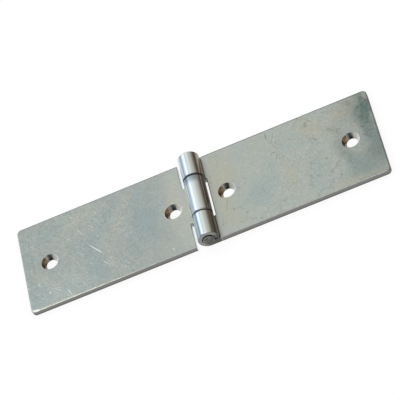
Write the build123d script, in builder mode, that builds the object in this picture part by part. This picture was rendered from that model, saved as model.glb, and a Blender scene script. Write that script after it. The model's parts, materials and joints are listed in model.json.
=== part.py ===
from build123d import *
from math import asin, degrees
import os

# Steel butt hinge: two long flat leaves of one sheet thickness, each rolled round a
# riveted pin. The pin runs along Y, the leaves reach out along X and their backs lie on
# Z = 0, so the origin is on the back plane, straight under the middle of the pin.
# All sizes are in millimetres.

# leaves
hinge_height = 35.0             # along the pin
sheet_thickness = 2.0
single_leaf_reach = 63.0        # pin axis to the free end, leaf with the middle knuckle
double_leaf_reach = 62.0        # pin axis to the free end, leaf with the outer knuckles
corner_radius = 1.5             # free corners, seen from the front
notch_corner_radius = 0.4       # corners of the punched notches
edge_radius = 0.35              # softened sheared edges

# barrel
pin_diameter = 3.0
pin_clearance = 0.03            # radial, between the pin and the rolled bore
middle_knuckle_length = 14.9
knuckle_gap = 0.3               # axial, between neighbouring knuckles
seam_gap = 0.15                 # between the rolled end and the front of its own leaf
end_notch_gap = 1.2             # single leaf, from the barrel to each end notch's edge
middle_notch_gap = 0.3          # double leaf, from the barrel to the middle notch's edge

# riveted pin ends
mouth_depth = 0.9               # length of the flared mouth in the outer knuckles
mouth_flare = 0.72              # how far the mouth spreads past the bore's radius
head_flare = 0.5                # how far the peened head spreads past the pin's radius
head_rise = 0.4                 # rim of the head above the end of the barrel
head_crown = 0.15               # rise of the dome above that rim
head_edge_radius = 0.15         # round the rim

# screw holes
screw_hole_diameter = 3.8
screw_head_diameter = 5.9       # countersink at the front face, before its rim is rounded
countersink_angle = 60.0
countersink_rim_radius = 0.15
hole_end_inset = 9.4            # outer hole, in from the free end
hole_barrel_inset = 5.9         # inner hole, out from the side of the barrel

# sizes that follow
half_height = hinge_height / 2
mouth_start = half_height - mouth_depth
pin_radius = pin_diameter / 2
bore_radius = pin_radius + pin_clearance
barrel_radius = bore_radius + sheet_thickness
axis_height = barrel_radius
middle_opening = middle_knuckle_length + 2 * knuckle_gap
roll_angle = 270 + degrees(asin((bore_radius - seam_gap) / barrel_radius))
pin_plane = Plane.XY.offset(axis_height)
pin_axis = Axis((0, 0, axis_height), (0, 1, 0))

os.makedirs("parts", exist_ok=True)


def rolled_sheet(reach, side):
    """End view of a leaf on the side +1 or -1: flat sheet, then round the pin and down again."""
    center = (0, axis_height)
    with BuildSketch(Plane.XZ) as profile:
        with BuildLine():
            outside = CenterArc(center, barrel_radius, -90, -side * roll_angle)
            inside = CenterArc(center, bore_radius, -90, -side * roll_angle)
            Line(outside @ 1, inside @ 1)
            Polyline(
                inside @ 0, (side * reach, sheet_thickness), (side * reach, 0), outside @ 0
            )
        make_face()
    return profile.sketch


def punch_notch(depth, length, middle):
    """Cuts a notch through sheet and roll, symmetric about the pin, depth to each side."""
    with BuildSketch() as notch:
        with Locations((0, middle)):
            Rectangle(2 * depth, length)
    extrude(notch.sketch, amount=2 * barrel_radius, mode=Mode.SUBTRACT)


def soften_edges(leaf):
    """Rounds every edge, apart from the uprights and the lines where the roll begins."""
    on_axis = barrel_radius / 100
    roll_lines = leaf.edges().filter_by(Axis.Y).filter_by_position(Axis.X, -on_axis, on_axis)
    fillet(leaf.edges() - leaf.edges().filter_by(Axis.Z) - roll_lines, edge_radius)


def drill_screw_holes(leaf, reach, side):
    """Two countersunk holes on the leaf's centre line, sunk from the front, with rounded rims."""
    with Locations(
        (side * (barrel_radius + hole_barrel_inset), 0, sheet_thickness),
        (side * (reach - hole_end_inset), 0, sheet_thickness),
    ):
        CounterSinkHole(
            screw_hole_diameter / 2, screw_head_diameter / 2, sheet_thickness, countersink_angle
        )
    fillet(leaf.edges(Select.LAST).group_by(Axis.Z)[-1], countersink_rim_radius)


# Leaf with the middle knuckle, on the -X side: a notch at each end of the barrel
# makes room for the other leaf's knuckles.
with BuildPart() as single_knuckle_leaf:
    extrude(rolled_sheet(single_leaf_reach, -1), amount=half_height, both=True)
    end_notch_length = half_height - middle_knuckle_length / 2
    for end in (-1, 1):
        notch_middle = end * (half_height - end_notch_length / 2)
        punch_notch(barrel_radius + end_notch_gap, end_notch_length, notch_middle)
    free_corners, notch_corners = single_knuckle_leaf.edges().filter_by(Axis.Z).group_by(Axis.X)
    fillet(free_corners, corner_radius)
    fillet(notch_corners, notch_corner_radius)
    soften_edges(single_knuckle_leaf)
    drill_screw_holes(single_knuckle_leaf, single_leaf_reach, -1)

# Leaf with the two outer knuckles, on the +X side: one notch in the middle, and a
# flared mouth at each end of the bore for the riveted pin.
with BuildPart() as double_knuckle_leaf:
    extrude(rolled_sheet(double_leaf_reach, 1), amount=half_height, both=True)
    punch_notch(barrel_radius + middle_notch_gap, middle_opening, 0)
    notch_corners, free_corners = double_knuckle_leaf.edges().filter_by(Axis.Z).group_by(Axis.X)
    fillet(free_corners, corner_radius)
    fillet(notch_corners, notch_corner_radius)
    soften_edges(double_knuckle_leaf)
    drill_screw_holes(double_knuckle_leaf, double_leaf_reach, 1)
    for end in (-1, 1):
        with BuildSketch(pin_plane) as mouth:
            with BuildLine():
                Polyline(
                    (0, end * mouth_start),
                    (bore_radius, end * mouth_start),
                    (bore_radius + mouth_flare, end * half_height),
                    (0, end * half_height),
                    close=True,
                )
            make_face()
        revolve(axis=pin_axis, mode=Mode.SUBTRACT)

# Pin, riveted over at both ends: plain in the bore, then a peened head that spreads inside
# the mouth of the outer knuckle and stands a little proud of it, slightly domed.
with BuildPart() as hinge_pin:
    head_radius = pin_radius + head_flare
    rim_height = half_height + head_rise
    with BuildSketch(pin_plane) as pin_half:
        with BuildLine():
            outline = Polyline(
                (0, rim_height + head_crown),
                (0, 0),
                (pin_radius, 0),
                (pin_radius, mouth_start),
                (head_radius, half_height),
                (head_radius, rim_height),
            )
            TangentArc(outline @ 0, outline @ 1, tangent=(1, 0))
        make_face()
        fillet(pin_half.vertices().sort_by(Axis.Y)[-2], head_edge_radius)
    revolve(axis=pin_axis)
    mirror(about=Plane.XZ)

for name, piece in (
    ("single_knuckle_leaf", single_knuckle_leaf),
    ("double_knuckle_leaf", double_knuckle_leaf),
    ("hinge_pin", hinge_pin),
):
    piece.part.label = name
    export_step(piece.part, f"parts/{name}.step")
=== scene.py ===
import json
from math import cos, radians

import bpy
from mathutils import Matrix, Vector


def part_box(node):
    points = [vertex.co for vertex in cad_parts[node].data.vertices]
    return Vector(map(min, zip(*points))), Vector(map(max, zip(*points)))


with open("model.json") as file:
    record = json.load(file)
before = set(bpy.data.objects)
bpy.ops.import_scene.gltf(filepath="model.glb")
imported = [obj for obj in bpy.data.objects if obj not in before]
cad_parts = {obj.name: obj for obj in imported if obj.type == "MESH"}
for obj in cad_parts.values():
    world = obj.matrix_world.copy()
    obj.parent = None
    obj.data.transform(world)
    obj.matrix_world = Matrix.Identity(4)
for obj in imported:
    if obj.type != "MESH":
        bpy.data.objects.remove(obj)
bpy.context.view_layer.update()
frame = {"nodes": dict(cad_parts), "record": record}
scene = bpy.context.scene
scene.view_settings.view_transform = "Standard"
print("frame loaded:", ", ".join(sorted(frame["nodes"])))

# The pin lies along Y, the leaves reach out along X, and the backs of the leaves lie on
# Z = 0. Blender works in metres; the materials measure in millimetres.
perMetre = 1000
pinLow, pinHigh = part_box("hinge_pin")
pinHeight = (pinLow[2] + pinHigh[2]) / 2 * perMetre


class Signal:
    # one output of a node; maths on it adds Math nodes
    def __init__(self, sheet, socket):
        self.sheet = sheet
        self.socket = socket

    def __add__(self, other):
        return self.sheet.math("ADD", self, other)

    def __radd__(self, other):
        return self.sheet.math("ADD", other, self)

    def __sub__(self, other):
        return self.sheet.math("SUBTRACT", self, other)

    def __rsub__(self, other):
        return self.sheet.math("SUBTRACT", other, self)

    def __mul__(self, other):
        return self.sheet.math("MULTIPLY", self, other)

    def __rmul__(self, other):
        return self.sheet.math("MULTIPLY", other, self)

    def __truediv__(self, other):
        return self.sheet.math("DIVIDE", self, other)

    def __rtruediv__(self, other):
        return self.sheet.math("DIVIDE", other, self)

    def __pow__(self, other):
        return self.sheet.math("POWER", self, other)

    def __rpow__(self, other):
        return self.sheet.math("POWER", other, self)

    def __abs__(self):
        return self.sheet.math("ABSOLUTE", self)


class NodeSheet:
    # the node tree of one material or of the world
    def __init__(self, tree):
        self.tree = tree
        tree.nodes.clear()

    def node(self, kind, settings={}, inputs={}, output=0):
        made = self.tree.nodes.new("ShaderNode" + kind)
        for name, value in settings.items():
            if name == "stops":
                ramp = made.color_ramp.elements
                while len(ramp) < len(value):
                    ramp.new(1)
                for element, (position, colour) in zip(ramp, value):
                    element.position = position
                    element.color = (*colour, 1)
            else:
                setattr(made, name, value)
        for key, value in inputs.items():
            socket = made.inputs[key]
            if isinstance(value, Signal):
                self.tree.links.new(value.socket, socket)
            elif socket.type == "RGBA" and len(value) == 3:
                socket.default_value = (*value, 1)
            else:
                socket.default_value = value
        if made.outputs:
            return Signal(self, made.outputs[output])

    def math(self, operation, *values):
        return self.node("Math", {"operation": operation}, dict(enumerate(values)))

    def vector(self, operation, *values):
        return self.node("VectorMath", {"operation": operation}, dict(enumerate(values)))

    def limit(self, value):
        return self.math("MINIMUM", value, 1.0)

    def axes(self, vector):
        return [self.node("SeparateXYZ", {}, {0: vector}, output=axis) for axis in range(3)]

    def mix(self, factor, first, second, blend="MIX"):
        settings = {"data_type": "RGBA", "blend_type": blend}
        return self.node("Mix", settings, {0: factor, 6: first, 7: second}, output=2)

    def smooth(self, value, start, end, low=0.0, high=1.0):
        settings = {"interpolation_type": "SMOOTHSTEP"}
        inputs = {"Value": value, 1: start, 2: end, 3: low, 4: high}
        return self.node("MapRange", settings, inputs)

    def noise(self, position, scale, detail=3.0, roughness=0.5, output=0):
        inputs = {"Vector": position, "Scale": scale, "Detail": detail, "Roughness": roughness}
        return self.node("TexNoise", {}, inputs, output)

    def patches(self, position, noise, limits):
        # a noise by its scale, detail and roughness, cut off softly between two limits
        return self.smooth(self.noise(position, *noise), *limits)

    def millimetres(self):
        objectPlace = self.node("TexCoord", output="Object")
        return self.vector("MULTIPLY", objectPlace, (perMetre, perMetre, perMetre))

    def turnBand(self, turn, start, end):
        return self.smooth(turn, radians(start), radians(end))

    def turnRamp(self, turn, tints):
        # colours by an angle, each with its place in degrees from -180 to 180
        stops = [(0.5 + angle / 360, tint) for angle, tint in tints]
        return self.node("ValToRGB", {"stops": stops}, {"Fac": turn / radians(360) + 0.5})

    def spots(self, position, places, edge, core):
        # soft ellipses, the same at any height: middle x and y, half length, half width,
        # turn in degrees, strength; edge widens them all, and core is the share that has
        # full strength
        anyHeight = 1000
        total = 0.0
        for x, y, halfLength, halfWidth, turn, strength in places:
            local = self.node("Mapping", {"vector_type": "TEXTURE"}, {
                "Vector": position, "Location": (x, y, 0), "Rotation": (0, 0, radians(turn)),
                "Scale": (halfLength * edge, halfWidth * edge, anyHeight)})
            ball = {"gradient_type": "SPHERICAL"}
            nearness = self.node("TexGradient", ball, {"Vector": local}, output=1)
            total = self.smooth(nearness, 0.0, 1 - core / edge, 0.0, strength) + total
        return total


# camera, at the photograph's angle
camera = {
    "place": (0.12511, -0.48660, 0.58169),
    "turn": (36.017, 20.930, -11.767),
    "lens": 213.8,
    "sensor": 36,
    "clip": (0.05, 20),
}
cameraData = bpy.data.cameras.new("photoCamera")
cameraData.sensor_width = camera["sensor"]
cameraData.lens = camera["lens"]
cameraData.clip_start, cameraData.clip_end = camera["clip"]
cameraObject = bpy.data.objects.new("photoCamera", cameraData)
cameraObject.location = camera["place"]
cameraObject.rotation_euler = [radians(angle) for angle in camera["turn"]]
scene.collection.objects.link(cameraObject)
scene.camera = cameraObject
print("camera placed")


# room: walls, window, lamp, cards and floor
room = {
    "walls": (0.68, 0.70, 0.70),
    # daylight from the left: a bright middle with a wide soft edge
    "windowSide": (-0.53, 0.635, 0.56),
    "windowHalo": (0.24, 0.26, 0.24), "haloEdge": (40, 10),
    "windowCore": (0.66, 0.74, 0.82), "coreEdge": (16, 4),
    # soft lamps: place, width, height, watts, colour; each is aimed at the hinge
    "lamps": {
        "overhead": ((-0.13, 0.00, 0.79), 0.26, 0.26, 0.60, (1.0, 0.98, 0.92)),
    },
    # cards that only the metal reflects: place, aimed at, width, height, and the
    # colours from the bottom edge to the top
    "cards": {
        "brownCard": ((0.44, -0.16, 0.31), (0, -0.16, 0.31), 0.80, 0.62, (
            (0.05, (0.13, 0.115, 0.10)), (0.25, (0.22, 0.15, 0.10)),
            (0.50, (0.34, 0.22, 0.14)), (0.72, (0.36, 0.27, 0.20)),
            (0.98, (0.60, 0.58, 0.56)))),
        "greyCard": ((0.34, 0.40, 0.17), (0, 0, 0.17), 0.30, 0.34, (
            (0.02, (0.12, 0.10, 0.08)), (0.30, (0.20, 0.165, 0.13)),
            (0.60, (0.27, 0.24, 0.21)), (0.98, (0.58, 0.58, 0.56)))),
        "backCard": ((-0.10, 0.60, 0.07), (-0.10, 0, 0.07), 1.30, 0.14, (
            (0.0, (0.22, 0.23, 0.24)), (1.0, (0.45, 0.46, 0.47)))),
    },
}


def aim(thing, place, target):
    thing.location = place
    thing.rotation_euler = (Vector(target) - Vector(place)).to_track_quat("-Z", "Y").to_euler()
    scene.collection.objects.link(thing)


def flatMesh(name, width, height):
    x, y = width / 2, height / 2
    mesh = bpy.data.meshes.new(name)
    mesh.from_pydata([(-x, -y, 0), (x, -y, 0), (x, y, 0), (-x, y, 0)], [], [(0, 1, 2, 3)])
    return mesh


def newMaterial(name):
    material = bpy.data.materials.new(name)
    material.use_nodes = True
    return material, NodeSheet(material.node_tree)


def lightWorld():
    world = bpy.data.worlds.new("room")
    world.use_nodes = True
    scene.world = world
    sheet = NodeSheet(world.node_tree)
    direction = sheet.node("TexCoord", output="Generated")
    towards = Vector(room["windowSide"]).normalized()
    settings = {"operation": "DOT_PRODUCT"}
    nearness = sheet.node("VectorMath", settings, {0: direction, 1: towards}, output=1)
    light = room["walls"]
    for glow, edge in (("windowHalo", "haloEdge"), ("windowCore", "coreEdge")):
        outer, inner = (cos(radians(angle)) for angle in room[edge])
        brighter = sheet.mix(1.0, light, room[glow], "ADD")
        light = sheet.mix(sheet.smooth(nearness, outer, inner), light, brighter)
    background = sheet.node("Background", {}, {"Color": light})
    sheet.node("OutputWorld", {}, {"Surface": background})


def hangLamp(name, place, width, height, power, colour):
    data = bpy.data.lights.new(name, "AREA")
    data.shape = "RECTANGLE"
    data.size = width
    data.size_y = height
    data.energy = power
    data.color = colour
    aim(bpy.data.objects.new(name, data), place, (0, 0, 0))


def hangCard(name, place, target, width, height, stops):
    card = bpy.data.objects.new(name, flatMesh(name, width, height))
    aim(card, place, target)
    card.visible_camera = card.visible_diffuse = card.visible_shadow = False
    paper, sheet = newMaterial(name)
    upward = sheet.axes(sheet.node("TexCoord", output="Object"))[1]
    shade = sheet.node("ValToRGB", {"stops": stops}, {"Fac": upward / height + 0.5})
    sheet.node("OutputMaterial", {}, {"Surface": sheet.node("Emission", {}, {"Color": shade})})
    card.data.materials.append(paper)


lightWorld()
for name, lamp in room["lamps"].items():
    hangLamp(name, *lamp)
for name, card in room["cards"].items():
    hangCard(name, *card)

floorPaper = {
    "size": 6.0,
    "drop": 0.00005,
    "colour": 0.80,
    "shownWhite": 0.86,      # what the camera and the metal see, beside the shadow
    "shownShadow": 0.22,     # how much of the paper's own shading they see
}


def layFloor(paper):
    plane = bpy.data.objects.new("floor", flatMesh("floor", paper["size"], paper["size"]))
    plane.location = (0, 0, -paper["drop"])
    scene.collection.objects.link(plane)
    paleFloor, sheet = newMaterial("paleFloor")
    grey = paper["colour"]
    faint = grey * paper["shownShadow"]
    plain = sheet.node("BsdfDiffuse", {}, {"Color": (grey, grey, grey)})
    shadowed = sheet.node("BsdfDiffuse", {}, {"Color": (faint, faint, faint)})
    glow = sheet.node("Emission", {}, {"Color": (1, 1, 1), "Strength": paper["shownWhite"]})
    shown = sheet.node("AddShader", {}, {0: shadowed, 1: glow})
    seen = 0.0
    for ray in ("Is Camera Ray", "Is Glossy Ray", "Is Transmission Ray"):
        seen = sheet.math("MAXIMUM", sheet.node("LightPath", output=ray), seen)
    surface = sheet.node("MixShader", {}, {0: seen, 1: plain, 2: shown})
    sheet.node("OutputMaterial", {}, {"Surface": surface})
    plane.data.materials.append(paleFloor)


layFloor(floorPaper)
print("room ready")


# leaves

singleLeaf = {
    "node": "single_knuckle_leaf",
    "side": -1,
    "screws": "single_leaf_screws",     # the mount that says where the holes are
    "plain": (0.470, 0.502, 0.480),
    "cool": (0.412, 0.474, 0.470),
    "warm": (0.520, 0.528, 0.480),
    # painted shade from the barrel to the free end: distance out, factor
    "fade": ((4, 1.02), (8, 0.98), (11, 0.92), (16, 0.89), (40, 0.89), (50, 0.87), (60, 0.84)),
    # painted light: how much lighter the near side of the leaf is
    "nearSideLight": 1.13,
    "stain": (0.260, 0.330, 0.310),
    "roughness": 0.31,
    # patches, stains, scratches, pits and marks: middle x and y, half length,
    # half width, turn in degrees, strength
    "coolPatches": (
        (-18.5, 2.0, 12.0, 4.6, 92, 1.0), (-22.5, 0.0, 13.0, 3.5, 88, 0.7),
        (-32.0, 9.0, 9.5, 3.0, 58, 0.7), (-40.0, 0.5, 6.0, 4.0, 20, 0.9),
        (-38.5, -10.0, 9.5, 4.5, 100, 0.9), (-25.0, -9.0, 6.0, 3.5, 110, 0.6),
        (-52.0, 12.0, 7.0, 4.0, 15, 0.6), (-59.0, -12.0, 7.0, 5.0, 20, 0.9),
        (-47.0, -14.0, 8.0, 3.5, 150, 0.5), (-61.0, 2.0, 12.0, 2.5, 90, 0.6),
    ),
    "warmPatches": (
        (-7.5, 3.0, 20.0, 5.2, 90, 1.0), (-41.0, 13.0, 8.0, 4.0, 10, 0.8),
        (-33.5, -7.0, 10.0, 1.8, 94, 0.9), (-28.5, 4.0, 8.0, 2.2, 80, 0.8),
        (-24.0, 13.0, 4.5, 2.6, 60, 0.6), (-56.5, -5.0, 6.0, 3.0, 120, 0.5),
        (-48.0, 3.0, 7.0, 3.5, 100, 0.4), (-14.0, -13.0, 6.0, 3.0, 0, 0.5),
        (-55.0, -11.0, 4.0, 2.5, 150, 0.5),
    ),
    "stains": (
        (-62.0, 17.0, 4.0, 2.0, 0, 0.3),
    ),
    "scratches": (
        (-37.5, -2.3, 4.9, 0.25, -54, 1.0), (-36.7, -1.1, 0.9, 0.16, -78, 0.35),
        (-35.1, -9.1, 2.4, 0.20, -57, 0.60), (-40.0, -7.0, 1.9, 0.18, -61, 0.45),
        (-41.6, 6.9, 2.4, 0.18, -67, 0.50), (-42.4, 7.6, 1.9, 0.16, -60, 0.35),
        (-37.6, 7.4, 2.3, 0.16, -55, 0.50), (-48.9, -14.9, 2.0, 0.22, -70, 0.90),
        (-52.5, -12.4, 2.2, 0.20, -43, 0.40), (-62.3, -7.5, 1.4, 0.20, -49, 0.55),
        (-58.3, 7.9, 2.4, 0.18, -55, 0.35), (-12.2, -14.6, 1.1, 0.22, -69, 0.75),
        (-8.4, -10.8, 1.1, 0.18, -66, 0.30), (-13.1, 5.7, 1.4, 0.18, -73, 0.30),
        (-43.0, 11.5, 1.5, 0.16, -75, 0.45), (-46.0, 6.0, 2.6, 0.15, -50, 0.45),
        (-44.5, -5.0, 2.5, 0.15, -62, 0.35), (-30.5, -12.0, 2.2, 0.16, -62, 0.30),
        (-27.0, 6.0, 2.0, 0.15, -50, 0.25), (-55.5, 12.0, 2.6, 0.15, -38, 0.30),
        (-46.5, -9.0, 2.2, 0.15, -48, 0.30), (-41.5, -11.0, 2.8, 0.15, -58, 0.35),
        (-24.0, 7.0, 1.6, 0.14, -66, 0.25), (-18.0, 13.0, 1.2, 0.14, -75, 0.25),
    ),
    "pits": (
        (-36.0, 2.7, 0.40, 0.30, 0, 0.55), (-33.2, -7.9, 0.35, 0.30, 0, 0.9),
        (-58.7, -7.6, 0.40, 0.35, 0, 0.8), (-55.5, -12.3, 0.45, 0.35, 60, 1.0),
        (-43.6, -13.6, 0.35, 0.30, 0, 0.7), (-50.5, 3.0, 0.35, 0.30, 0, 0.6),
        (-29.5, 9.0, 0.35, 0.25, 0, 0.5), (-60.5, -1.0, 0.40, 0.30, 0, 0.6),
    ),
    "marks": (
        (-26.8, -16.5, 0.50, 0.35, 0, 1.0),
    ),
    "grain": 0.95,
    "hairs": 0.80,
    "pores": 0.25,
    "cracks": 0.0,
    # strengths of the painted highlight on the near edge, of the painted shade on the far edge and
    # end, and of the painted glint at the corner
    "nearEdge": 0.85,
    "farEdge": 0.60,
    "endEdge": 0.0,
    "cornerGlint": 1.0,
    # strength of the painted shade at the top end of the knuckle, and of the paler painted
    # reflection band on the upper knuckle
    "shadedTop": 1.0,
    "paleUpper": 0.0,
    # tint and painted reflections of the rolled knuckle by the turn round the pin, from left to
    # right
    "tintAndReflections": (
        (-90, (0.66, 0.73, 0.73)),
        (-48, (0.65, 0.78, 0.80)),      # bluish tint, partly a painted reflection
        (-25, (0.46, 0.52, 0.64)),      # painted dark reflection streak
        (-11, (0.67, 0.68, 0.76)),
        (2, (0.85, 0.90, 0.90)),        # painted highlight on the crest
        (12, (0.84, 0.87, 0.78)),
        (22, (0.63, 0.64, 0.60)),
        (35, (0.60, 0.61, 0.57)),       # shoulder
        (50, (0.53, 0.43, 0.34)),       # painted dark brown reflection
        (100, (0.53, 0.43, 0.34)),
        (125, (0.66, 0.73, 0.73)),
    ),
}

doubleLeaf = {
    "node": "double_knuckle_leaf",
    "side": 1,
    "screws": "double_leaf_screws",
    "plain": (0.488, 0.512, 0.476),
    "cool": (0.418, 0.476, 0.460),
    "warm": (0.505, 0.498, 0.420),
    # painted shade from the barrel to the free end, and painted light on the near side
    "fade": ((4, 1.00), (42, 1.00), (48, 0.95), (54, 0.86), (58, 0.81)),
    "nearSideLight": 1.0,
    "stain": (0.150, 0.204, 0.186),
    "roughness": 0.31,
    "coolPatches": (
        (20.0, -6.0, 7.5, 5.5, 20, 0.9), (34.0, 9.0, 6.0, 4.5, 0, 0.6),
        (40.5, -6.0, 13.0, 5.0, 90, 0.60), (13.5, 11.0, 4.0, 3.0, 0, 0.25),
        (54.0, -11.0, 8.0, 5.0, 10, 0.8), (25.0, 2.0, 6.0, 3.5, 40, 0.3),
        (60.5, -4.0, 9.0, 4.5, 90, 1.0),
    ),
    "warmPatches": (
        (8.5, 2.0, 17.0, 6.0, 90, 1.0), (31.5, -5.0, 8.0, 3.0, 96, 0.8),
        (28.0, 7.0, 4.0, 1.8, 75, 0.4), (40.5, 11.5, 5.0, 5.0, 0, 0.7),
        (51.0, -15.9, 11.0, 1.5, 0, 0.9),
        (47.0, 9.0, 6.0, 5.0, 30, 0.6), (53.0, 13.0, 5.0, 4.0, 10, 1.0),
        (10.0, -12.0, 7.0, 4.0, 0, 0.4),
        (43.0, -3.0, 1.4, 1.0, 0, 0.6),
    ),
    "stains": (
        (59.4, 9.0, 13.0, 3.5, 90, 0.85), (57.0, 11.0, 8.0, 5.0, 90, 0.22),
        (62.0, -5.5, 10.0, 6.0, 90, 0.42), (48.6, -1.0, 7.0, 2.6, 86, 0.32),
        (50.8, -6.8, 5.0, 3.0, -60, 0.36), (57.0, -7.5, 5.0, 3.0, -10, 0.20),
        (55.0, -12.0, 8.0, 4.0, 10, 0.24), (49.0, 6.5, 3.5, 2.2, 110, 0.20),
    ),
    "scratches": (
        (20.0, -13.1, 1.3, 0.18, 90, 0.60), (20.4, -16.0, 0.8, 0.18, 92, 0.50),
        (12.0, 14.0, 1.6, 0.12, 60, 0.25), (23.0, 6.0, 2.6, 0.10, 25, 0.18),
        (36.0, 3.0, 2.4, 0.10, -30, 0.18), (45.0, -9.0, 2.0, 0.10, 70, 0.18),
        (16.0, -9.0, 2.4, 0.12, 30, 0.22),
    ),
    "pits": (
        (11.3, 10.6, 0.45, 0.30, 30, 0.6), (34.5, 7.5, 0.35, 0.25, 0, 0.4),
    ),
    "marks": (
        (26.3, 14.8, 2.0, 0.24, 88, 0.90), (29.0, 10.8, 0.45, 0.30, 60, 0.9),
        (27.4, 7.2, 1.3, 0.24, -10, 0.7), (28.3, 5.6, 0.5, 0.40, 0, 0.65),
        (28.0, 4.6, 0.9, 0.20, 60, 0.5), (39.8, 13.0, 2.8, 0.18, 82, 0.50),
        (41.8, 10.2, 1.4, 0.18, -6, 0.45), (40.3, 5.5, 3.8, 0.16, 96, 0.45),
        (32.0, -0.9, 0.45, 0.3, 30, 0.6), (43.4, -3.4, 0.5, 0.38, 0, 0.9),
        (46.7, -12.0, 0.45, 0.38, 60, 0.9), (57.3, 3.4, 0.9, 0.32, -30, 0.9),
        (27.3, -7.8, 1.2, 0.18, -60, 0.45), (26.4, -13.0, 0.5, 0.28, 80, 0.5),
        (8.6, 12.0, 2.4, 0.16, 80, 0.40), (36.0, 14.5, 1.2, 0.18, 60, 0.40),
        (50.5, -14.0, 1.2, 0.24, 20, 0.40), (45.2, 13.5, 1.0, 0.2, 30, 0.4),
    ),
    "grain": 0.75,
    "hairs": 0.28,
    "pores": 0.8,
    "cracks": 0.50,
    # strengths of the painted highlight on the near edge, of the painted shade on the far edge and
    # end, and of the painted glint at the corner
    "nearEdge": 0.15,
    "farEdge": 1.0,
    "endEdge": 0.30,
    "cornerGlint": 0.0,
    # strength of the painted shade at the top end of the knuckle, and of the paler painted
    # reflection band on the upper knuckle
    "shadedTop": 0.0,
    "paleUpper": 1.0,
    # tint and painted reflections of the rolled knuckle by the turn round the pin
    "tintAndReflections": (
        (-90, (0.60, 0.66, 0.69)),
        (-38, (0.58, 0.70, 0.80)),      # bluish tint, partly a painted reflection
        (-27, (0.20, 0.27, 0.38)),      # painted dark reflection streak
        (-15, (0.61, 0.67, 0.74)),
        (-3, (0.62, 0.69, 0.76)),
        (6, (0.96, 0.98, 0.90)),        # painted highlight on the crest
        (19, (0.64, 0.66, 0.61)),
        (34, (0.52, 0.53, 0.49)),       # painted darker reflection on the shoulder
        (50, (0.55, 0.43, 0.32)),       # painted dark brown reflection
        (100, (0.55, 0.43, 0.32)),
        (125, (0.60, 0.66, 0.69)),
    ),
}

# where the zones of a leaf begin and end, in millimetres
leafZones = {
    "roll": (4.0, 3.4),                 # out from the pin
    "besideRoll": (0.0, 1.0),           # out from the pin, on the flat back
    "flatBack": (0.4, 0.1),             # height
    "upperHalf": (0.8, 1.2),            # height
    "front": (1.55, 1.80),              # height
    "sideRim": (0.62, 0.25),            # in from the sides
    "endRim": (0.60, 0.25),             # in from the free end
    "worn": (10, 32, 0.55, 1.0),        # out from the pin, and least and most wear
    "facesAlong": (0.6, 0.8),           # share of the normal along the leaf
    "upright": (0.75, 0.35),            # share of the normal upwards
}
sunkHole = {
    "edge": (3.07, 2.97),               # out from the middle of the hole
    "aboveBack": (0.01, 0.04),          # height at which the hole begins
    # painted shade on the narrow straight wall
    "boreShade": (0.10, 0.10, 0.10),
    "wallBelow": (0.27, 0.13),          # height of the straight wall
    # painted reflections in the cone by the turn round the hole, clockwise from the far side
    "coneReflections": (
        (-170, (0.15, 0.19, 0.19)),
        (-115, (0.25, 0.20, 0.17)),
        (-75, (0.22, 0.15, 0.105)),     # painted brown reflection
        (-36, (0.40, 0.26, 0.16)),
        (-24, (0.48, 0.41, 0.33)),
        (-5, (0.085, 0.095, 0.11)),     # painted dark reflection at the far side
        (9, (0.085, 0.095, 0.11)),
        (32, (0.62, 0.62, 0.55)),       # painted pale reflection
        (86, (0.95, 0.96, 0.96)),
        (124, (0.97, 0.98, 0.98)),
        (150, (0.38, 0.49, 0.50)),
    ),
    # the side painted matt and pale as a highlight, by the same turn, and its soft edge
    "paintedPaleSide": (16, 156),
    "paleSideSoftness": 17.2,
}


def screwHoles(leaf):
    # how far along X the inner and the outer hole are, in millimetres
    mounts = {mount["name"]: mount for mount in frame["record"]["mounts"]}
    screws = mounts[leaf["screws"]]
    middle = screws["pos_m"][0] * perMetre
    halfSpacing = leaf["side"] * screws["dims"]["spacing_x_mm"] / 2
    return middle - halfSpacing, middle + halfSpacing


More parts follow.
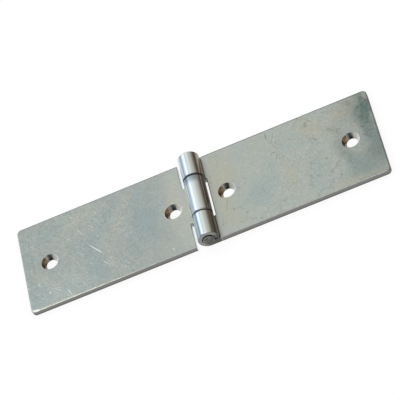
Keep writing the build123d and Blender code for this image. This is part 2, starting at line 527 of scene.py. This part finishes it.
def leafRegions(sheet, leaf):
    # where on the leaf a point is, mostly as masks from 0 to 1
    zones = leafZones
    low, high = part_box(leaf["node"])
    reach = max(-low[0], high[0]) * perMetre
    halfHeight = high[1] * perMetre
    place = sheet.millimetres()
    x, y, z = sheet.axes(place)
    normalX, _, normalZ = sheet.axes(sheet.node("TexCoord", output="Normal"))
    outward = x * leaf["side"]
    flatBack = sheet.smooth(outward, *zones["besideRoll"]) * sheet.smooth(z, *zones["flatBack"])
    roll = sheet.smooth(outward, *zones["roll"]) * (1 - flatBack)

    holeDistance = reach
    inner, outer = screwHoles(leaf)
    for holeX in (inner, outer):
        away = sheet.vector("SUBTRACT", sheet.vector("MULTIPLY", place, (1, 1, 0)), (holeX, 0, 0))
        distance = sheet.node("VectorMath", {"operation": "LENGTH"}, {0: away}, output=1)
        holeDistance = sheet.math("MINIMUM", distance, holeDistance)
    sunk = sheet.smooth(holeDistance, *sunkHole["edge"]) * sheet.smooth(z, *sunkHole["aboveBack"])
    isOuter = sheet.math("GREATER_THAN", outward, (abs(inner) + abs(outer)) / 2)
    holeTurn = sheet.math("ARCTAN2", x - (isOuter * (outer - inner) + inner), y)

    front = sheet.smooth(z, *zones["front"]) * (1 - roll)
    sideFrom, sideFull = (halfHeight - inset for inset in zones["sideRim"])
    sideRim = sheet.smooth(abs(y), sideFrom, sideFull) * front
    endFrom, endFull = (reach - inset for inset in zones["endRim"])
    return {
        "place": place, "x": x, "y": y, "z": z, "outward": outward, "roll": roll,
        "reach": reach, "halfHeight": halfHeight, "holeDistance": holeDistance,
        "front": front, "sunk": sunk, "holeTurn": holeTurn,
        "bore": sunk * sheet.smooth(z, *sunkHole["wallBelow"]),
        "upperHalf": sheet.smooth(z, *zones["upperHalf"]),
        "facesAlong": sheet.smooth(abs(normalX), *zones["facesAlong"]),
        "upright": sheet.smooth(abs(normalZ), *zones["upright"]) * (1 - roll) * (1 - sunk),
        "nearRim": sideRim * sheet.smooth(y, 0, -1),
        "farRim": sideRim * sheet.smooth(y, 0, 1),
        "endRim": sheet.smooth(outward, endFrom, endFull) * front,
        "worn": sheet.smooth(outward, *zones["worn"]),
    }


# cloudy tint of the coating; a noise is given by its scale, detail and roughness
coating = {
    "clouds": (0.13, 5.0, 0.62),
    "coolClouds": (0.52, 0.70),
    "warmClouds": (0.48, 0.30),
    "cloudStrength": 0.4,
    "patchShape": (1.2, 0.2),           # edge and core
    "patchEdges": (0.20, 4.0, 0.6),     # noise that makes the edges ragged
    "edgeWander": 6,
    "coolOverWarm": 0.5,
    "wideHue": (0.7, 4.0, 0.65),
    "narrowHue": (2.3, 2.0, 0.5),
    "hueShift": 0.16,
}


def coatingTint(sheet, leaf, at):
    # cool and warm patches with ragged edges, and a fine mottle of hue
    place = at["place"]
    wander = coating["edgeWander"]
    drift = sheet.noise(place, *coating["patchEdges"], output=1)
    drift = sheet.vector("SUBTRACT", drift, (0.5, 0.5, 0.5))
    ragged = sheet.vector("MULTIPLY_ADD", drift, (wander, wander, wander), place)
    cloud = sheet.noise(place, *coating["clouds"])
    strength = coating["cloudStrength"]
    cool = sheet.spots(ragged, leaf["coolPatches"], *coating["patchShape"])
    cool = sheet.limit(cool + sheet.smooth(cloud, *coating["coolClouds"]) * strength)
    warm = sheet.spots(ragged, leaf["warmPatches"], *coating["patchShape"])
    warm = warm + sheet.smooth(cloud, *coating["warmClouds"]) * strength
    warm = sheet.limit(warm * (1 - cool * coating["coolOverWarm"]))
    colour = sheet.mix(cool, leaf["plain"], leaf["cool"])
    colour = sheet.mix(warm, colour, leaf["warm"])
    wide, narrow = (sheet.noise(place, *coating[key]) - 0.5 for key in ("wideHue", "narrowHue"))
    hue = (wide + narrow) * coating["hueShift"]
    shift = sheet.node("CombineXYZ", {}, {0: 1 + hue, 1: 1.0, 2: 1 - hue})
    return sheet.mix(1.0, colour, shift, "MULTIPLY"), ragged


# grain of the plating: each noise, with how much it shades or where it is cut off
grain = {
    "blotch": (0.42, 3.0, 0.6), "blotchShade": 0.28,
    "mottle": (1.0, 4.0, 0.65), "mottleShade": 0.55,
    "fine": (2.1, 2.0, 0.6), "fineShade": 0.75,
    "specks": (1.5, 2.0, 0.5), "speckRange": (0.68, 0.78),
    "pores": (1.2, 4.0, 0.7), "poreRange": (0.37, 0.26),
}


def platingGrain(sheet, leaf, at):
    # uneven tone, pale specks and dark pores
    place = at["place"]
    strength = at["worn"] * leaf["grain"]
    blotch = (sheet.noise(place, *grain["blotch"]) - 0.5) * grain["blotchShade"]
    mottle = sheet.noise(place, *grain["mottle"]) - 0.5
    fine = sheet.noise(place, *grain["fine"]) - 0.5
    shade = blotch + mottle * grain["mottleShade"] + fine * grain["fineShade"]
    specks = sheet.patches(place, grain["specks"], grain["speckRange"])
    pores = sheet.patches(place, grain["pores"], grain["poreRange"])
    return {
        "mottle": mottle, "fine": fine, "tone": 1 + shade * strength,
        "specks": specks * strength, "pores": pores * leaf["pores"],
    }


# wear and dirt; the shapes are edge and core
wear = {
    # hairlines: turn in degrees, noise scale along and across, strength
    "hairlines": ((-57, 0.16, 3.6, 1.0), (38, 0.13, 3.2, 0.5), (-12, 0.18, 4.0, 0.4)),
    "hairlineNoise": (1.0, 2.0, 0.5), "hairlineRange": (0.64, 0.78),
    "crackBend": (0.5, 3.0, 0.6), "crackBendBy": 3,
    "crackCells": 0.16, "crackWidth": (0.030, 0.005),
    "crackGaps": (0.22, 2.0, 0.5), "crackGapRange": (0.50, 0.62),
    "scratchShape": (1.0, 0.35), "pitShape": (1.0, 0.3), "markShape": (1.0, 0.2),
    "bareMetal": (0.93, 0.94, 0.90), "scratchShows": 0.72, "speckShows": 0.22,
    "dirt": (0.15, 0.12, 0.09), "dirtShows": 0.75, "poreShows": 0.30,
    "stainShape": (1.15, 0.15), "blots": (0.85, 4.0, 0.65), "blotRange": (0.46, 0.62),
    "stainBase": 0.84, "stainBlots": 0.40,
    # painted shade along the leaf and painted light on its near side
    "fadeSpan": 64,                     # length that a leaf's fade is spread over
    "nearSideFrom": (-2, -15), "nearSideBeyond": (34, 54),
}


def hairlines(sheet, at):
    # very fine handling scratches, in three crossing directions
    hairs = 0.0
    for turn, length, width, strength in wear["hairlines"]:
        along = sheet.node("Mapping", {"vector_type": "POINT"}, {
            "Vector": at["place"], "Rotation": (0, 0, radians(-turn))})
        stretched = sheet.vector("MULTIPLY", along, (length, width, 1))
        line = sheet.patches(stretched, wear["hairlineNoise"], wear["hairlineRange"])
        hairs = line * strength + hairs
    return hairs * at["worn"]


def brokenCracks(sheet, at):
    # faint broken crack lines of a thick coating
    place = at["place"]
    by = wear["crackBendBy"]
    bend = sheet.noise(place, *wear["crackBend"], output=1)
    bent = sheet.vector("MULTIPLY_ADD", bend, (by, by, by), place)
    settings = {"feature": "DISTANCE_TO_EDGE"}
    cells = sheet.node("TexVoronoi", settings, {"Vector": bent, "Scale": wear["crackCells"]})
    gaps = sheet.patches(place, wear["crackGaps"], wear["crackGapRange"])
    return sheet.smooth(cells, *wear["crackWidth"]) * gaps


def wearAndDirt(sheet, leaf, at):
    # scratches and pits, dark marks, and blotchy stains
    place = at["place"]
    lines = sheet.spots(place, leaf["scratches"], *wear["scratchShape"])
    lines = (lines + sheet.spots(place, leaf["pits"], *wear["pitShape"])) * at["upperHalf"]
    marks = sheet.spots(place, leaf["marks"], *wear["markShape"]) * at["upperHalf"]
    marks = marks + at["pores"] * wear["poreShows"]
    stains = sheet.spots(at["ragged"], leaf["stains"], *wear["stainShape"])
    blots = sheet.patches(place, wear["blots"], wear["blotRange"])
    return {
        "scratches": sheet.limit(lines + hairlines(sheet, at) * leaf["hairs"]),
        "marks": sheet.limit(marks + brokenCracks(sheet, at) * leaf["cracks"]),
        "stains": sheet.limit(stains * (wear["stainBase"] + blots * wear["stainBlots"])),
    }


def flatColour(sheet, leaf, at, colour):
    # painted shade along the leaf and painted light on its near side, then stains, dirt and
    # scratches
    span = wear["fadeSpan"]
    # halved in the ramp and doubled after it, since a ramp ends at 1
    greys = [(out / span, (factor / 2, factor / 2, factor / 2)) for out, factor in leaf["fade"]]
    fade = sheet.node("ValToRGB", {"stops": greys}, {"Fac": at["outward"] / span})
    nearSideLight = sheet.smooth(at["y"], *wear["nearSideFrom"])
    nearSideLight = nearSideLight * sheet.smooth(at["outward"], *wear["nearSideBeyond"])
    tone = at["tone"] * (sheet.axes(fade)[0] * 2) * (1 + nearSideLight * (leaf["nearSideLight"] - 1))
    shade = sheet.node("CombineXYZ", {}, {0: tone, 1: tone, 2: tone})
    colour = sheet.mix(1.0, colour, shade, "MULTIPLY")
    colour = sheet.mix(at["stains"], colour, leaf["stain"])
    colour = sheet.mix(at["marks"] * wear["dirtShows"], colour, wear["dirt"])
    bare = at["scratches"] * wear["scratchShows"] + at["specks"] * wear["speckShows"]
    return sheet.mix(bare, colour, wear["bareMetal"])


# near edge: painted shade with a painted highlight, and a painted glint at the corner; far edge
# and end: painted shade
rim = {
    "plain": (0.35, 0.36, 0.345), "rimShadeShows": 0.85,
    "nearEdgeHighlight": (0.86, 0.86, 0.74),
    "highlightFrom": (14, 54, 0.10, 1.0),       # out from the pin, and least and most
    "patches": (1.0, 3.0, 0.6), "patchesAlong": 0.35, "patchRange": (0.30, 0.60, 0.45, 1.0),
    "dullAndShade": (0.13, 0.13, 0.128),
    "glint": (0.97, 0.97, 0.95),
    "glintInset": (1.6, 0.45),                  # in from the free end and from the near side
    "glintSize": (1.9, 0.7, -12, 1.0),          # half length, half width, turn, strength
    "glintShape": (1.0, 0.4),
}


def rimColour(sheet, leaf, at, colour):
    # painted shade and a painted highlight along the near edge, a painted glint at the corner, and
    # painted shade on the far edge and end
    along = sheet.vector("MULTIPLY", at["place"], (rim["patchesAlong"], 0, 0))
    patchy = sheet.patches(along, rim["patches"], rim["patchRange"])
    # painted shade and a painted highlight along the near edge; painted shade on the far edge and
    # end
    nearEdgeHighlight = at["nearRim"] * sheet.smooth(at["outward"], *rim["highlightFrom"]) * patchy
    colour = sheet.mix(at["nearRim"] * rim["rimShadeShows"], colour, rim["plain"])
    colour = sheet.mix(nearEdgeHighlight * leaf["nearEdge"], colour, rim["nearEdgeHighlight"])
    dullAndShade = sheet.limit(at["farRim"] * leaf["farEdge"] + at["endRim"] * leaf["endEdge"])
    colour = sheet.mix(dullAndShade, colour, rim["dullAndShade"])
    fromEnd, fromSide = rim["glintInset"]
    corner = (leaf["side"] * (at["reach"] - fromEnd), fromSide - at["halfHeight"])
    glint = sheet.spots(at["place"], ((*corner, *rim["glintSize"]),), *rim["glintShape"])
    glint = glint * at["front"] * leaf["cornerGlint"]
    return sheet.mix(glint, colour, rim["glint"]), glint


shearedFace = {
    "upper": (0.225, 0.222, 0.222),
    "lower": (0.135, 0.136, 0.119),
    "tornBelow": (1.25, 0.95),          # height
    "tearing": (0.8, 3.0, 0.6), "tearingBy": 0.6,
    "freeEnd": (0.165, 0.160, 0.145),
    # painted light on the notch walls beside the barrel
    "notch": (0.80, 0.86, 0.88),
    "notchWithin": (8.0, 7.0),          # out from the pin
}


def shearedColour(sheet, at, colour):
    # a smoother band at the front, a torn and darker one at the back, and painted light on the
    # notch walls
    ragged = sheet.noise(at["place"], *shearedFace["tearing"]) * shearedFace["tearingBy"]
    torn = sheet.smooth(at["z"] + ragged, *shearedFace["tornBelow"])
    sheared = sheet.mix(torn, shearedFace["upper"], shearedFace["lower"])
    atNotch = sheet.smooth(at["outward"], *shearedFace["notchWithin"])
    across = sheet.mix(atNotch, shearedFace["freeEnd"], shearedFace["notch"])
    sheared = sheet.mix(at["facesAlong"], sheared, across)
    return sheet.mix(at["upright"], colour, sheared)


def sunkColour(sheet, at, colour):
    # countersinks with painted reflections and a matt pale side painted as a highlight, and
    # painted shade on the narrow straight wall below them
    turn = at["holeTurn"]
    colour = sheet.mix(at["sunk"], colour, sheet.turnRamp(turn, sunkHole["coneReflections"]))
    colour = sheet.mix(at["bore"], colour, sunkHole["boreShade"])
    start, end = sunkHole["paintedPaleSide"]
    soft = sunkHole["paleSideSoftness"]
    paintedPaleSide = sheet.turnBand(turn, start, start + soft) * sheet.turnBand(turn, end, end - soft)
    return colour, paintedPaleSide * at["sunk"] * (1 - at["bore"])


# knuckles: lengths in millimetres, and turns round the pin in degrees from the top
knuckle = {
    # painted shade at the top end of the middle knuckle
    "dullAndShade": (0.49, 0.51, 0.54), "shadeAlong": (3.6, 6.4), "shadeTurn": (46, 20),
    "upperAlong": (7.0, 8.5),
    # a paler painted reflection band on the upper knuckle
    "paleStripe": (0.53, 0.60, 0.68), "stripeShows": 0.8,
    "stripeFrom": (-70, -50), "stripeTo": (-14, -20),
    # painted dark reflection on the right side of the barrel, fading out round its back
    "paintedDarkSide": (0.114, 0.111, 0.100), "darkSideShows": 0.85,
    "darkSideFrom": (37, 53), "darkSideTo": (125, 104),
    "upperDarkSideFrom": (41, 49), "upperPalerFrom": (56, 66), "upperPaler": 0.4,
    "joints": 7.6, "jointEdge": (0.75, 0.25),
    # darker at the joints between the knuckles
    "jointDarkening": (0.06, 0.09, 0.09), "nearJoint": 0.55, "farJoint": 0.85,
    "end": (0.26, 0.26, 0.247), "endInset": (0.22, 0.08),
    # painted shade on the barrel ends, darker to the lower right
    "endShade": (0.10, 0.095, 0.085), "endShadeFrom": (-0.6, 3.0),
    "mouth": (0.42, 0.42, 0.41), "mouthEdge": (2.32, 2.22), "mouthInset": (1.5, 1.1),
}


def lowerRight(sheet, x, z, start, end):
    # from 0 at the upper left of the pin's axis to 1 at the lower right
    return sheet.smooth(x - (z - pinHeight), start, end)


def fromPinAxis(sheet, x, z):
    return sheet.math("SQRT", x ** 2 + (z - pinHeight) ** 2)


def barrelColour(sheet, leaf, at, colour):
    # tint and painted reflections round the top, painted shade at the top end of the middle
    # knuckle, a painted dark reflection over the right leaf, and darker at the joints
    y, roll = at["y"], at["roll"]
    turn = sheet.math("ARCTAN2", at["x"], at["z"] - pinHeight)
    # tint and painted reflections round the barrel
    colour = sheet.mix(roll, colour, sheet.turnRamp(turn, leaf["tintAndReflections"]))
    # painted shade at the top end of the middle knuckle
    dullAndShade = sheet.smooth(y, *knuckle["shadeAlong"]) * sheet.turnBand(turn, *knuckle["shadeTurn"])
    colour = sheet.mix(dullAndShade * roll * leaf["shadedTop"], colour, knuckle["dullAndShade"], "MULTIPLY")
    # on the upper knuckle, a paler painted reflection band and less of the painted dark side
    upper = sheet.smooth(y, *knuckle["upperAlong"]) * roll * leaf["paleUpper"]
    stripe = sheet.turnBand(turn, *knuckle["stripeFrom"])
    stripe = stripe * sheet.turnBand(turn, *knuckle["stripeTo"]) * knuckle["stripeShows"]
    colour = sheet.mix(upper * stripe, colour, knuckle["paleStripe"])
    # painted dark reflection over the right leaf, less of it on the upper knuckle
    paintedDarkSide = sheet.turnBand(turn, *knuckle["darkSideFrom"])
    upperDarkSide = sheet.turnBand(turn, *knuckle["upperDarkSideFrom"]) * upper
    paler = upper * sheet.turnBand(turn, *knuckle["upperPalerFrom"]) * knuckle["upperPaler"]
    paintedDarkSide = sheet.math("MAXIMUM", paintedDarkSide, upperDarkSide) * roll * (1 - paler)
    paintedDarkSide = paintedDarkSide * sheet.turnBand(turn, *knuckle["darkSideTo"])
    colour = sheet.mix(paintedDarkSide * knuckle["darkSideShows"], colour, knuckle["paintedDarkSide"])
    joint = sheet.smooth(abs(abs(y) - knuckle["joints"]), *knuckle["jointEdge"]) * roll
    jointDarkening = sheet.smooth(y, -1, 1, knuckle["nearJoint"], knuckle["farJoint"])
    return sheet.mix(joint * jointDarkening, colour, knuckle["jointDarkening"])


def barrelEndColour(sheet, at, colour):
    # ends of the barrel with painted shade to the lower right, and the flared mouths
    x, y, z = at["x"], at["y"], at["z"]
    endFrom, endFull = (at["halfHeight"] - inset for inset in knuckle["endInset"])
    end = sheet.smooth(abs(y), endFrom, endFull) * at["roll"]
    shade = lowerRight(sheet, x, z, *knuckle["endShadeFrom"])
    colour = sheet.mix(end, colour, sheet.mix(shade, knuckle["end"], knuckle["endShade"]))
    mouthFrom, mouthFull = (at["halfHeight"] - inset for inset in knuckle["mouthInset"])
    mouth = sheet.smooth(fromPinAxis(sheet, x, z), *knuckle["mouthEdge"])
    mouth = mouth * sheet.smooth(abs(y), mouthFrom, mouthFull)
    return sheet.mix(mouth, colour, knuckle["mouth"])


leafSurface = {
    # what each mask adds to a leaf's roughness, and to the height of its relief
    "roughBy": {
        "mottle": 0.10, "fine": 0.08, "scratches": -0.08, "stains": 0.06, "glint": -0.10,
        "upright": 0.12, "sunk": -0.14, "roll": -0.12,
    },
    "reliefBy": {
        "mottle": 0.35, "fine": 0.25, "scratches": -0.8, "marks": -0.6, "rings": 0.3,
        "streaks": 0.35, "shearLines": 1.5,
    },
    "ringPitch": 42.0,                  # cutting rings of the countersinks
    "streakScale": (9.0, 0.12, 9.0),    # drawn lines along the knuckles
    "streaks": (1.0, 3.0, 0.6),
    "shearScale": (5.0, 5.0, 0.6),      # upright lines of the sheared faces
    "shearLines": (1.0, 2.0, 0.6),
    "bump": {"Strength": 0.35, "Distance": 0.00002},
}


def toolMarks(sheet, at):
    # rings in the countersinks, lines along the knuckles and up the sheared faces
    along = sheet.vector("MULTIPLY", at["place"], leafSurface["streakScale"])
    upward = sheet.vector("MULTIPLY", at["place"], leafSurface["shearScale"])
    turns = at["holeDistance"] * leafSurface["ringPitch"]
    return {
        "rings": sheet.math("SINE", turns) * at["sunk"],
        "streaks": sheet.noise(along, *leafSurface["streaks"]) * at["roll"],
        "shearLines": sheet.noise(upward, *leafSurface["shearLines"]) * at["upright"],
    }


def addUp(masks, shares):
    total = 0.0
    for name, share in shares.items():
        total = masks[name] * share + total
    return total


def dress(node, material, sheet, inputs):
    surface = sheet.node("BsdfPrincipled", {}, inputs)
    sheet.node("OutputMaterial", {}, {"Surface": surface})
    frame["nodes"][node].material_slots[0].material = material


def zincLeaf(leaf):
    material, sheet = newMaterial(leaf["node"] + "_zinc")
    at = leafRegions(sheet, leaf)
    colour, at["ragged"] = coatingTint(sheet, leaf, at)
    at.update(platingGrain(sheet, leaf, at))
    at.update(wearAndDirt(sheet, leaf, at))
    at.update(toolMarks(sheet, at))
    colour = flatColour(sheet, leaf, at, colour)
    colour, at["glint"] = rimColour(sheet, leaf, at, colour)
    colour = shearedColour(sheet, at, colour)
    colour, paintedPaleSide = sunkColour(sheet, at, colour)
    colour = barrelColour(sheet, leaf, at, colour)
    colour = barrelEndColour(sheet, at, colour)
    roughness = leaf["roughness"] + addUp(at, leafSurface["roughBy"])
    relief = addUp(at, leafSurface["reliefBy"])
    bump = sheet.node("Bump", {}, {**leafSurface["bump"], "Height": relief})
    dress(leaf["node"], material, sheet, {
        "Base Color": colour, "Metallic": 1 - paintedPaleSide, "Roughness": roughness, "Normal": bump})


for leaf in (singleLeaf, doubleLeaf):
    zincLeaf(leaf)
    print("leaf finished:", leaf["node"])


# pin

hingePin = {
    "node": "hinge_pin",
    "plain": (0.175, 0.175, 0.167),
    # dark of the hammered dimples and of the painted shade to the lower right
    "dullAndShade": (0.080, 0.080, 0.078),
    "hammered": (1.1, 2.0, 0.5), "plainRange": (0.35, 0.65),
    "shadeFrom": (-0.8, 1.6), "shade": 0.8,     # painted shade, darker to the lower right
    "worn": (0.50, 0.50, 0.48), "wornShows": 0.4,
    "fine": (5.0, 3.0, 0.6), "wornRange": (0.60, 0.75),
    "groove": (0.24, 0.24, 0.23), "grooveEdge": (1.85, 1.95),
    "roughness": 0.34, "hammeredRough": 0.3, "fineRough": 0.1,
    "fineRelief": 0.15,
    "bump": {"Strength": 0.6, "Distance": 0.0002},
}


def rivetedPin(pin):
    material, sheet = newMaterial("hinge_pin_zinc")
    place = sheet.millimetres()
    x, _, z = sheet.axes(place)
    hammered = sheet.noise(place, *pin["hammered"])
    fine = sheet.noise(place, *pin["fine"])
    # painted shade towards the lower right
    lit = 1 - lowerRight(sheet, x, z, *pin["shadeFrom"]) * pin["shade"]
    colour = sheet.mix(sheet.smooth(hammered, *pin["plainRange"]) * lit, pin["dullAndShade"], pin["plain"])
    worn = sheet.smooth(fine, *pin["wornRange"]) * pin["wornShows"]
    colour = sheet.mix(worn, colour, pin["worn"])
    groove = sheet.smooth(fromPinAxis(sheet, x, z), *pin["grooveEdge"])
    colour = sheet.mix(groove, colour, pin["groove"])
    roughness = pin["roughness"] + (hammered - 0.5) * pin["hammeredRough"]
    roughness = roughness + (fine - 0.5) * pin["fineRough"]
    relief = hammered + fine * pin["fineRelief"]
    bump = sheet.node("Bump", {}, {**pin["bump"], "Height": relief})
    dress(pin["node"], material, sheet, {
        "Base Color": colour, "Metallic": 1.0, "Roughness": roughness, "Normal": bump})


rivetedPin(hingePin)
print("pin finished")
